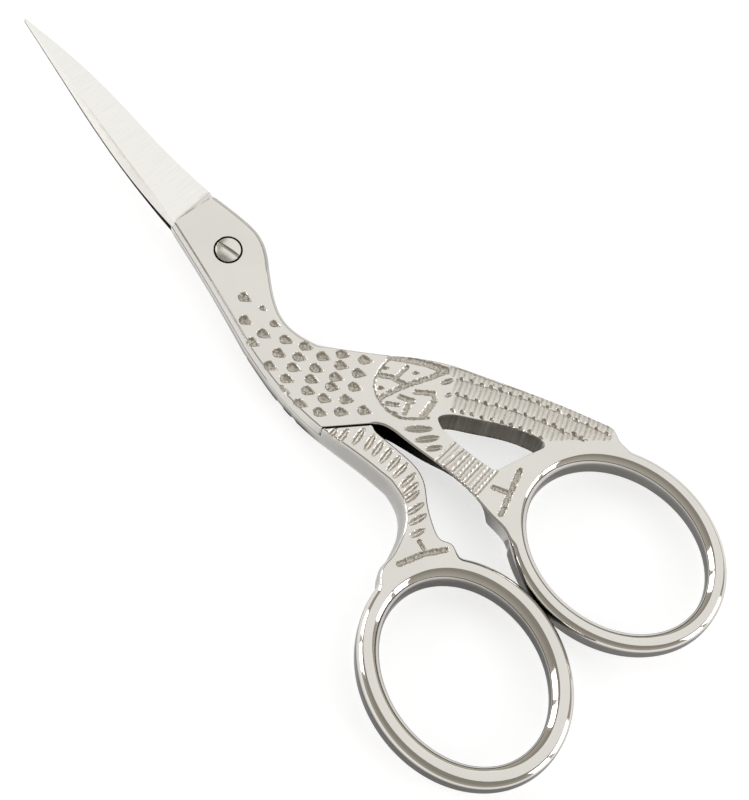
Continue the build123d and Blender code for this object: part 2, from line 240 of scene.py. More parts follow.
def cubic(t, p, at):
    """Values of the natural cubic curve at the places asked for."""
    t, p, at = [np.asarray(v, float) for v in (t, p, at)]
    m = bends(t, p)
    i = np.clip(np.searchsorted(t, at) - 1, 0, len(t) - 2)
    h = t[i + 1] - t[i]
    u = (at - t[i]) / h
    if p.ndim > 1:
        h, u = h[..., None], u[..., None]
    bent = ((1 - u) ** 3 - (1 - u)) * m[i] + (u**3 - u) * m[i + 1]
    return (1 - u) * p[i] + u * p[i + 1] + h * h / 6 * bent


def curve(points):
    """Close points along a smooth curve through the given ones, or along a line for two."""
    p = np.array(points, float)
    h = np.linalg.norm(np.diff(p, axis=0), axis=1)
    t = np.concatenate([[0], np.cumsum(h)])
    places = [np.zeros(1)]
    for i, length in enumerate(h):
        places.append(t[i] + length * np.linspace(0, 1, max(1, round(length / STEP)) + 1)[1:])
    at = np.concatenate(places)
    if len(p) == 2:
        return p[0] + (p[1] - p[0]) * (at / t[-1])[:, None]
    return cubic(t, p, at)


def turned(x, y, angle):
    """Flat points turned about the origin."""
    c, s = math.cos(angle), math.sin(angle)
    return x * c - y * s, x * s + y * c


def oval_points(oval, angles, grow=0.0):
    (cx, cy), (a, b), lean = oval
    x, y = turned((a + grow) * np.cos(angles), (b + grow) * np.sin(angles), lean)
    return np.stack([cx + x, cy + y], -1)


def in_oval(oval, p):
    """Place of points in an oval's own axes, as shares of its half sizes."""
    (cx, cy), (a, b), lean = oval
    x, y = turned(p[..., 0] - cx, p[..., 1] - cy, -lean)
    return np.stack([x / a, y / b], -1)


def until(run, left):
    """The part of a run before a number that is given for its points falls below nought."""
    i = int(np.argmax(left < 0))
    u = left[i - 1] / (left[i - 1] - left[i])
    return np.vstack([run[:i], run[i - 1] + u * (run[i] - run[i - 1])])


def until_oval(run, oval):
    """The part of a run before it goes into an oval, and the angle where it does."""
    run = until(run, np.hypot(*in_oval(oval, run).T) - 1)
    x, y = in_oval(oval, run[-1])
    return run, math.atan2(y, x)


def oval_arc(oval, start, end):
    """Points clockwise round an oval from one angle to another."""
    while end >= start:
        end -= 2 * math.pi
    count = round((start - end) * sum(oval[1]) / 2 / STEP)
    return oval_points(oval, np.linspace(start, end, count + 1))


def blade_sections(y, side):
    """Spine, bevel line and edge across, and their heights, at places along one blade."""
    at = (np.asarray(y, float) - RICASSO) / BLADE_LENGTH
    v = cubic(STATIONS[:, 0], STATIONS[:, 1:], np.clip(at, -0.04, 1.0))
    x = v[..., :3] * BLADE_WIDTH
    z = LAP + v[..., 3:] * BLADE_HALF
    if side < 0:
        x = np.stack([x[..., 2], x[..., 2] - (x[..., 1] - x[..., 0]), x[..., 0]], -1)
    return x, z


def blade_height(x, y, side):
    xs, zs = blade_sections(y, side)
    t = np.abs(x - xs[..., 0])
    bevel = np.maximum(np.abs(xs[..., 1] - xs[..., 0]), 1e-6)
    face = np.maximum(np.abs(xs[..., 2] - xs[..., 1]), 1e-6)
    low = zs[..., 0] + (zs[..., 1] - zs[..., 0]) * np.clip(t / bevel, 0, 1)
    u = np.clip((t - bevel) / face, 0, 1)
    hollow = HOLLOW * 4 * u * (1 - u)
    high = zs[..., 1] + (zs[..., 2] - zs[..., 1]) * u - hollow * np.minimum(1, face / 3)
    return np.where(t < bevel, low, high)


def thickness_table():
    """Half the thickness along y, with the corners of the side view blended."""
    y = np.arange(-66, 38, SIDE_STEP)
    end = BODY_HALF - RING_FALL * (SIDE_PLACES[4] - SIDE_PLACES[3])
    raw = np.interp(-y, SIDE_PLACES, [PIVOT_HALF, PIVOT_HALF, BODY_HALF, BODY_HALF, end])
    padded = np.pad(raw, BLEND // 2, mode="edge")
    return y, np.convolve(padded, np.ones(BLEND + 1) / (BLEND + 1), mode="valid")


THICK_Y, THICK_Z = thickness_table()


def facet_line(x, border, side):
    """Where one border of the facet between flat and blade lies along y."""
    share = (np.clip(x * side, FACET_LEFT, FACET_RIGHT) - FACET_LEFT) / (FACET_RIGHT - FACET_LEFT)
    return border[0] + border[1] * share


def face_height(x, y, side):
    """Height of the outer face over the lap plane, without the carving."""
    flat = np.interp(y, THICK_Y, THICK_Z)
    flat_line, blade_line = facet_line(x, FLAT_EDGE, side), facet_line(x, BLADE_EDGE, side)
    w = np.clip((y - flat_line) / (blade_line - flat_line), 0, 1)
    return flat + (np.minimum(blade_height(x, np.maximum(y, 5.0), side), flat) - flat) * w


RANDOM = np.random.default_rng(11)
CELLS = 256
GRAIN = RANDOM.random((CELLS, CELLS))


def grain(x, y, size):
    """Smooth seeded noise from 0 to 1, with its size in millimetres."""
    u, v = x / size, y / size
    i, j = np.floor(u).astype(int), np.floor(v).astype(int)
    a, b = u - i, v - j
    a, b = a * a * (3 - 2 * a), b * b * (3 - 2 * b)
    i, j, i1, j1 = i % CELLS, j % CELLS, (i + 1) % CELLS, (j + 1) % CELLS
    low = GRAIN[i, j] * (1 - a) + GRAIN[i1, j] * a
    return low * (1 - b) + (GRAIN[i, j1] * (1 - a) + GRAIN[i1, j1] * a) * b


def step_in(within, edge):
    """Smoothly from 0 at a rim to 1 past its edge, where the floor of a cut begins."""
    t = np.clip(within / edge, 0, 1)
    return t * t * (3 - 2 * t)


def seen(right, up):
    """A direction in the part's axes from one in the photograph."""
    return np.array(turned(right, up, TURN))


def make_cuts():
    """Single cuts: kind, centre, unit direction, length, width, depth."""
    cuts = []

    def drop(x, y, way, cut, size=1.0, deeper=1.0):
        cuts.append(("drop", (x, y), way, cut[0] * size, cut[1] * size, cut[2] * deeper))

    for k, (x, y) in enumerate(SCALES):
        slope = np.interp(y, [-19, -8], [0.25, 0.6])
        size = {1: 0.6, 2: 0.75}.get(k, 1.0)
        turn = 0.25 * (RANDOM.random() - 0.5)
        drop(x, y, seen(1, -slope - turn), SCALE_CUT, size, size**0.5)
    for k, (x, y) in enumerate(THIGH):
        lift = math.radians(np.interp(k, [0, 3, 13], [50, 58, 28]))
        length = THIGH_LONG if 1 < k < 13 else THIGH_SHORT
        way = seen(math.cos(lift), math.sin(lift))
        cuts.append(("ridged", (x, y), way, length, THIGH_WIDTH, THIGH_DEPTH))
    for centre, way, length, width in LEAVES:
        cuts.append(("ridged", centre, seen(*way), length, width, LEAF_DEPTH))
    for x, y in WING_PITS:
        drop(x, y, seen(1, -0.1), PIT_CUT)
    for x, y in FLUTE_LOW:
        drop(x + 0.05, y, seen(0.5, 0.85), FLUTE_END_CUT)
    for row, (places, levels) in enumerate(TAIL_LINES):
        for k in range(16):
            loose = 0.12 if k < 8 else 0.35
            at = TAIL_START + TAIL_PITCH * (k + loose * (RANDOM.random() - 0.5))
            across = np.interp(at, places, levels) + loose * (RANDOM.random() - 0.5)
            big = 1.4 if at > 35.5 and row == 1 else 1.0 + 0.3 * RANDOM.random()
            if at < TAIL_ENDS[row]:
                drop(*(TAIL_ALONG * at + TAIL_ACROSS * across), seen(0.6, -0.8), TAIL_CUT, big)
    return [(kind, c, d / np.linalg.norm(d), *sizes) for kind, c, d, *sizes in cuts]


CUTS = make_cuts()


def line_distance(x, y, points):
    """Distance of places from a line of points."""
    best = np.full(np.shape(x), 1e9)
    for (ax, ay), (bx, by) in zip(points, points[1:]):
        dx, dy = bx - ax, by - ay
        t = np.clip(((x - ax) * dx + (y - ay) * dy) / (dx * dx + dy * dy), 0, 1)
        best = np.minimum(best, np.hypot(x - ax - t * dx, y - ay - t * dy))
    return best


def feathers(x, y):
    """Depth of the ribbed rows on the tail."""
    a = x * TAIL_ALONG[0] + y * TAIL_ALONG[1]
    b = x * TAIL_ACROSS[0] + y * TAIL_ACROSS[1]
    a = a + 0.06 * (grain(x, y, 0.9) - 0.5)
    low, mid, top = [np.interp(a, *line) for line in TAIL_LINES]
    rim = np.interp(a, *TAIL_RIM)
    phase = (a - TAIL_START) / TAIL_PITCH
    near = np.abs(phase - np.round(phase)) * TAIL_PITCH
    half = np.abs(phase - 0.5 - np.round(phase - 0.5)) * TAIL_PITCH
    ribs = 0.12 * step_in(0.19 - near, 0.19) + 0.07 * step_in(0.16 - half, 0.16)
    rows = np.zeros_like(a)
    for start, end, first in ((low, mid, 26.5), (mid, top, 26.1), (top, rim - 0.12, 25.1)):
        span = np.clip((b - start) / np.maximum(end - start, 0.1), 0, 1)
        here = step_in(b - start + 0.02, 0.05) * step_in(end - b, 0.12) * step_in(a - first, 0.25)
        rows = np.maximum(rows, here * (ribs * (0.55 + 0.45 * span) + 0.05 * span + 0.02))
    return rows * step_in(b - np.interp(a, *TAIL_FLOOR), 0.25) * step_in(43.2 - a, 0.4)


def cut_depth(x, y, cut):
    """Depth of a drop with a round head and a point, or of a long hollow with a ridge along it."""
    kind, (cx, cy), way, length, width, deep = cut
    dx, dy = x - cx, y - cy
    s, t = dx * way[0] + dy * way[1], np.abs(dy * way[0] - dx * way[1])
    if kind == "drop":
        u = (s + 0.15 * length) / length
        head = np.sqrt(np.clip(1 - (u / 0.35) ** 2, 0, 1))
        point = np.clip(1 - u / 0.65, 0, 1) ** 0.8
        within = np.where(u < 0, head, point) * width / 2 - t
        rough = grain(x, y, 0.24) + 0.5 * grain(y, x, 0.13)
        return deep * step_in(within, 0.22) * (1 + 0.6 * (rough - 0.75) * step_in(within - 0.1, 0.15))
    within = (1 - np.abs(np.clip(2 * s / length, -1, 1)) ** 2.4) * width / 2 - t
    ridge = 1 - 0.8 * np.exp(-((t / 0.11) ** 2))
    return deep * step_in(within, 0.15) * ridge * (1 + 0.35 * (grain(x, y, 0.16) - 0.5))


def flutes(x, y):
    """Depth of the flutes across the front leg, with a shallow one between each two."""
    cut = np.zeros(len(x))
    low, high = np.array(FLUTE_LOW), np.array(FLUTE_HIGH)
    for k in np.arange(0, len(low) - 0.9, 0.5):
        i, part = int(k), k - int(k)
        j = min(i + 1, len(low) - 1)
        ends = low[i] * (1 - part) + low[j] * part, high[i] * (1 - part) + high[j] * part
        cut = np.maximum(cut, (0.07 if part else 0.11) * step_in(0.21 - line_distance(x, y, ends), 0.2))
    return cut


def carve(x, y):
    """Depth of the carving under the smooth face."""
    x, y = np.asarray(x, float), np.asarray(y, float)
    depth = np.zeros(x.shape)

    def cut_box(left, right, low, high, depths):
        """Cuts within a box, as deep as a function says."""
        near = (x > left) & (x < right) & (y > low) & (y < high)
        if near.any():
            depth[near] = np.maximum(depth[near], depths(x[near], y[near]))

    cut_box(5, np.inf, -41, -21, feathers)
    for cut in CUTS:
        (cx, cy), reach = cut[1], cut[3]
        cut_box(cx - reach, cx + reach, cy - reach, cy + reach, lambda a, b: cut_depth(a, b, cut))
    for points, half, deep in GROOVES:
        half = half * (1.35 if points[0][1] > -27 and half > 0.18 else 1)

        def groove(a, b):
            rough = grain(a, b, 0.17)
            within = half * (0.9 + 0.2 * rough) - line_distance(a, b, points)
            return deep * step_in(within, 0.17) * (1 + 0.5 * (rough - 0.5))

        xs, ys = zip(*points)
        cut_box(min(xs) - half, max(xs) + half, min(ys) - half, max(ys) + half, groove)
    cut_box(1, 6.5, -37, -29.5, flutes)
    return depth


# A map of the carved places, for the finer grid of points
MAP_STEP, MAP_LEFT, MAP_LOW = 0.1, -12, -46
MAP = np.meshgrid(np.arange(MAP_LEFT, 19, MAP_STEP), np.arange(MAP_LOW, -3, MAP_STEP))
CARVED = carve(*MAP) > 0.004
for axis, shift in ((0, 1), (0, -1), (1, 1), (1, -1)):
    CARVED |= np.roll(CARVED, shift, axis)


def is_carved(pts):
    places = np.round((pts - (MAP_LEFT, MAP_LOW)) / MAP_STEP).astype(int)
    i, j = np.clip(places[:, ::-1], 0, np.array(CARVED.shape) - 1).T
    return CARVED[i, j]


class Build:
    """Collects the vertices and faces of one closed mesh."""

    def __init__(self):
        self.verts, self.faces, self.count = [], [], 0

    def add(self, xy, z):
        xyz = np.column_stack([xy, np.broadcast_to(z, len(xy))])
        self.verts.append(xyz)
        ids = np.arange(self.count, self.count + len(xyz))
        self.count += len(xyz)
        return ids

    def wall(self, rows):
        """Quads between closed rows, from the highest down, that run clockwise round the material."""
        for upper, lower in zip(rows, rows[1:]):
            corners = upper, np.roll(upper, -1), np.roll(lower, -1), lower
            self.faces += [tuple(int(i) for i in face) for face in zip(*corners)]

    def points(self):
        return np.concatenate(self.verts)


def crossings(loops, y):
    """Where the loops cross one level, sorted."""
    found = []
    for p in loops:
        q = np.roll(p, -1, 0)
        hit = (p[:, 1] > y) != (q[:, 1] > y)
        (ax, ay), (bx, by) = p[hit].T, q[hit].T
        found.append(ax + (y - ay) / (by - ay) * (bx - ax))
    return np.sort(np.concatenate(found))


def inside(loops, pts):
    """Which points lie inside the loops, by the even and odd rule."""
    res = np.zeros(len(pts), bool)
    a = np.concatenate(loops)
    b = np.concatenate([np.roll(p, -1, 0) for p in loops])
    lo, hi = np.minimum(a[:, 1], b[:, 1]), np.maximum(a[:, 1], b[:, 1])
    order = np.argsort(pts[:, 1])
    for chunk in np.array_split(order, max(1, len(pts) // 400)):
        x, y = pts[chunk][:, :1], pts[chunk][:, 1:]
        near = (hi >= y.min()) & (lo <= y.max())
        (ax, ay), (bx, by) = a[near].T, b[near].T
        with np.errstate(divide="ignore", invalid="ignore"):
            cross = ax + (y - ay) / (by - ay) * (bx - ax)
        hits = ((ay > y) != (by > y)) & (cross > x)
        res[chunk] = np.sum(hits, 1) % 2 == 1
    return res


def gap_to(points):
    """A function that gives the distance of one place from the nearest of flat points."""
    tree = KDTree(len(points))
    for i, p in enumerate(points):
        tree.insert((p[0], p[1], 0), i)
    tree.balance()
    return lambda p: tree.find((p[0], p[1], 0))[2]


def grid_points(loops, spacing, fine=None):
    """Points of a triangular grid inside the loops, finer where the function says so."""
    every = np.concatenate(loops)
    distance = gap_to(every)
    kept = []
    for gap, wanted in ((spacing, False), (FINE_GRID, True)):
        if wanted and not fine:
            continue
        row = gap * math.sqrt(3) / 2
        for k, y in enumerate(np.arange(every[:, 1].min() + 0.3 * gap, every[:, 1].max(), row)):
            x = crossings(loops, y)
            for a, b in zip(x[::2], x[1::2]):
                start = math.ceil(a / gap) * gap + (0.5 * gap if k % 2 else 0)
                xs = np.arange(start, b, gap)
                pts = np.column_stack([xs, np.full(len(xs), y)])
                if fine:
                    pts = pts[fine(pts) == wanted]
                kept += [p for p in pts if distance(p) > 0.6 * min(gap, 0.2)]
    return np.array(kept).reshape(-1, 2)


def fill(build, loops, lines, spacing, height, up, fine=None, wanted=None):
    """Fills between loops of built vertices with triangles that face up or down, with the lines as edges."""
    points = build.points()
    loop_xy = [points[ids][:, :2] for ids in loops]
    extra = grid_points(loop_xy + [np.vstack([line, line[::-1]]) for line in lines], spacing, fine)
    if wanted:
        extra = extra[wanted(extra)]
    ids, pts, edges = [], [], []
    for loop, xy in zip(loops, loop_xy):
        start, n = len(pts), len(loop)
        pts += [tuple(p) for p in xy]
        ids += [int(i) for i in loop]
        edges += [(start + i, start + (i + 1) % n) for i in range(n)]
    for line in lines:
        start = len(pts)
        pts += [tuple(p) for p in line]
        ids += [-1] * len(line)
        edges += [(start + i, start + i + 1) for i in range(len(line) - 1)]
    pts += [tuple(p) for p in extra]
    ids += [-1] * len(extra)
    out, _, tris, origin, _, _ = delaunay_2d_cdt([Vector(p) for p in pts], edges, [], 0, 1e-5, True)
    xy = np.array([(v.x, v.y) for v in out])
    tris = np.array(tris)
    tris = tris[inside(loop_xy, xy[tris].mean(1))]
    new = np.full(len(xy), -1)
    for i, o in enumerate(origin):
        known = [ids[k] for k in o if ids[k] >= 0]
        if known:
            new[i] = known[0]
    fresh = np.unique(tris[new[tris] < 0])
    if len(fresh):
        new[fresh] = build.add(xy[fresh], height(xy[fresh]))
    a, b, c = [xy[tris[:, k]].T for k in range(3)]
    (ux, uy), (vx, vy) = b - a, c - a
    turn = ux * vy - uy * vx
    tris = new[tris]
    flip = (turn < 0) == up
    tris[flip] = tris[flip][:, ::-1]
    build.faces += [tuple(int(i) for i in t) for t in tris]


def inward(loop):
    """Unit vectors into the material of a closed clockwise loop, and its radius where it bulges."""
    before, after = np.roll(loop, 1, 0), np.roll(loop, -1, 0)
    d = after - before
    length = np.linalg.norm(d, axis=1)
    d = d / length[:, None]
    normal = np.column_stack([d[:, 1], -d[:, 0]])
    e1, e2 = loop - before, after - loop
    turn = np.arctan2(e1[:, 0] * e2[:, 1] - e1[:, 1] * e2[:, 0], np.sum(e1 * e2, 1))
    bend = -turn / (length / 2)
    radius = np.where(bend > 1e-3, 1 / np.maximum(bend, 1e-3), 1e3)
    return normal, radius


def eased(values, times):
    """Numbers round a loop, averaged with their neighbours a number of times."""
    for _ in range(times):
        values = (np.roll(values, 1, 0) + 2 * values + np.roll(values, -1, 0)) / 4
    return values


# Wall levels: shares of the straight part, then angles of the rounding
STRAIGHT = (0, 0.33, 0.67, 1.0)
ROUND = np.radians([10, 20, 30, 42, 54, 66, 78, 90])
# Rounding of the edge along each run of the outline; the others have 0.2
RADII = {
    "shoulder": 0.95, "nape": 0.75, "back": 0.42, "tail": 0.32, "tail_end": 0.25, "stop": 0.07, "lap": 0.07,
    "under_stop": 0.07, "leg_top": 0.1, "blade_left": 0.03, "tip": 0.03, "blade_right": 0.03, "neck": 0.3,
    "leg": 0.32, "foot": 0.3,
}


def wall_rows(loop, radius, ring, width, lean, height, bottom, notched=0.0):
    """Rows of (xy, z) from the lap plane out to the face, or with bottom to the far face."""
    normal, bulge = inward(loop)
    limit = eased(np.minimum.reduce([np.roll(0.75 * bulge, k) for k in range(-3, 4)]), 4)
    r = np.minimum(radius, limit)
    sign = -1 if bottom else 1
    start = sign * LAP
    rows = []
    for k, (level, ring_in) in enumerate(zip(LEVELS, RING_OUTER * width)):
        straight = k < len(STRAIGHT)
        arc = 0 if straight else ROUND[k - len(STRAIGHT)]
        body_in = notched * (k == 0) if straight else r * (1 - math.cos(arc))
        inset = body_in * (1 - ring) + np.minimum(ring_in, limit * 3) * ring
        xy = loop + normal * inset[:, None]
        top = height(xy)
        if straight:
            body_z = start + (top - r - start) * STRAIGHT[k]
            if k == 1:
                body_z = np.where(notched > 0, start + NOTCH_HEIGHT, body_z)
        else:
            body_z = top - r * (1 - math.sin(arc))
        z = body_z * (1 - ring) + np.maximum(top * level, LAP * (k == 0)) * ring
        rows.append((xy + lean(sign * z, top), sign * z))
    return rows


def closed_loop(runs, joints):
    """One closed loop from runs that meet, softened at its corners, and where each run starts."""
    pts, marks = [], {}
    for name, run in runs:
        marks[name] = len(pts)
        pts += [tuple(p) for p in run[:-1]]
    loop = np.array(pts)
    soft, reach = np.zeros(len(loop)), np.zeros(len(loop))
    soft[[marks[name] for name in joints]] = 1
    for k in range(-6, 7):
        reach = np.maximum(reach, np.roll(soft, k) * (1 - abs(k) / 7))
    for step in range(20):
        weight = np.maximum(0.5 * reach, 0.5 * (step < 2))
        middle = (np.roll(loop, 1, 0) + np.roll(loop, -1, 0)) / 2
        loop = loop + (middle - loop) * weight[:, None]
    return loop, marks


def blade_runs(side):
    """Up the left border of one blade, over the tip and down the right one."""
    y = np.linspace(ROOT_Y, RICASSO + BLADE_LENGTH, 216)
    x, _ = blade_sections(y, side)
    sides = []
    for pick, root in ((np.minimum, ROOT_LEFT), (np.maximum, ROOT_RIGHT)):
        across = pick(x[:, 0], x[:, 2])
        across = across + (root - across[0]) * np.clip((8 - y) / 2, 0, 1)
        sides.append(np.column_stack([across, y]))
    left, right = sides
    return [("blade_left", left), ("tip", np.array([left[-1], right[-1]])), ("blade_right", right[::-1])]


def breast_runs(stop):
    """The outline of the breast above and below the stop, both upwards."""
    breast = curve(BREAST)
    at = int(np.argmin(np.linalg.norm(breast - stop, axis=1)))
    return breast[: at + 1][::-1], breast[at:][::-1]


def front_runs():
    tail_end, enters = until_oval(curve(TAIL_END), FRONT_OVAL)
    foot, leaves = until_oval(curve(FRONT_FOOT)[::-1], FRONT_OVAL)
    return [
        ("shoulder", curve(SHOULDER)), ("nape", curve(NAPE)), ("back", curve(BACK)), ("tail", curve(TAIL)),
        ("tail_end", tail_end), ("ring", oval_arc(FRONT_OVAL, enters, leaves)), ("foot", foot[::-1]),
        ("leg", curve(FRONT_LEG)), ("stop", curve([NOTCH, STOP_OUTER])),
        ("breast", breast_runs(STOP_OUTER)[0]), ("neck", curve(NECK)[::-1]),
    ] + blade_runs(1)


def back_runs():
    """The back half's outline; its nape ends on a line just past the front half's lap edge."""
    nape = curve(NAPE)
    aside = np.array(LAP_TOP) - NOTCH
    aside = np.array([-aside[1], aside[0]]) / np.linalg.norm(aside)
    left = (nape - NOTCH) @ aside - BACK_LAP_GAP
    nape = until(nape, np.where(nape[:, 1] < -11, left, 1))
    foot, enters = until_oval(curve(BACK_FOOT), BACK_OVAL)
    heel, leaves = until_oval(np.vstack([curve(HEEL), curve([HEEL[-1], HEEL_END])[1:]]), BACK_OVAL)
    breast, low = breast_runs(BACK_STOP_OUTER)
    return [
        ("shoulder", curve(SHOULDER)), ("nape", nape),
        ("lap", curve([nape[-1], BACK_NOTCH])), ("under_stop", curve([BACK_NOTCH, UNDER_STOP])),
        ("leg_top", curve([UNDER_STOP, BACK_LEG[0]])), ("leg", curve(BACK_LEG)), ("foot", foot),
        ("ring", oval_arc(BACK_OVAL, enters, leaves)), ("heel", heel[::-1]),
        ("leg_back", curve(LEG_BACK)[::-1]), ("breast_low", low), ("breast", breast),
        ("neck", curve(NECK)[::-1]),
    ] + blade_runs(-1)


def along(loop, marks, values, default, times):
    """A number for each vertex from a table of runs, eased where it changes."""
    names = sorted(marks, key=marks.get)
    out = np.full(len(loop), float(default))
    for i, n in enumerate(names):
        end = marks[names[i + 1]] if i + 1 < len(names) else len(loop)
        if n in values:
            out[marks[n] : end] = values[n]
    return eased(out, times)


def leaner(normal, reach, front):
    """A function that gives how far the points of a row lean in at their height."""

    def lean(z, top):
        share = (1 - z / top) / 2 if front else np.clip(-z / top, 0, 1)
        return normal * (reach * share)[:, None]

    return lean


def add_round(build, steps, count):
    """Circles about the screw's axis, each given by radius and height."""
    angles = -np.linspace(0, 2 * math.pi, count, endpoint=False)
    unit = np.column_stack([np.cos(angles), np.sin(angles)])
    return [build.add(unit * r, z) for r, z in steps]


def add_finger_hole(build, oval, width, height):
    """Rows of the finger hole's wall, from the upper face to the lower."""
    turns = -np.linspace(0, 2 * math.pi, 460, endpoint=False)
    rows = []
    shape = list(zip(LEVELS, RING_INNER * width))
    for level, grow in shape[::-1] + [(-level, grow) for level, grow in shape[1:]]:
        xy = oval_points(oval, turns, grow - width)
        rows.append(build.add(xy, height(xy) * level))
    return rows


def add_window(build, height):
    """Rows of the wall of the window between tail and leg, and how rough its middle rows are and how much
    painted shade they get.
    """
    runs = [(i, curve(run + WINDOW[(i + 1) % len(WINDOW)][:1])) for i, run in enumerate(WINDOW)]
    window, _ = closed_loop(runs, range(len(WINDOW)))
    normal, _ = inward(window)
    rim = ((0.1, 0), (0.03, 0.03), (0, 0.1), (0, 0.8))
    rows = []
    for sign, inset, drop in [(1, *step) for step in rim] + [(-1, *step) for step in rim[::-1]]:
        xy = window - normal * inset
        rows.append(build.add(xy, sign * (height(xy) - drop)))
    # Painted shade, stronger on the upper part of the wall, with streaks
    above = window[:, 1] > np.interp(window[:, 0], [3, 4.3, 11.3, 12], [-26, -28.0, -36.2, -36.3])
    streaks = 0.55 + 0.45 * np.tile(grain(window[:, 0] * 3, window[:, 1] * 3, 0.5), 4)
    return rows, np.tile(eased(above.astype(float), 3), 4) * streaks + 0.15


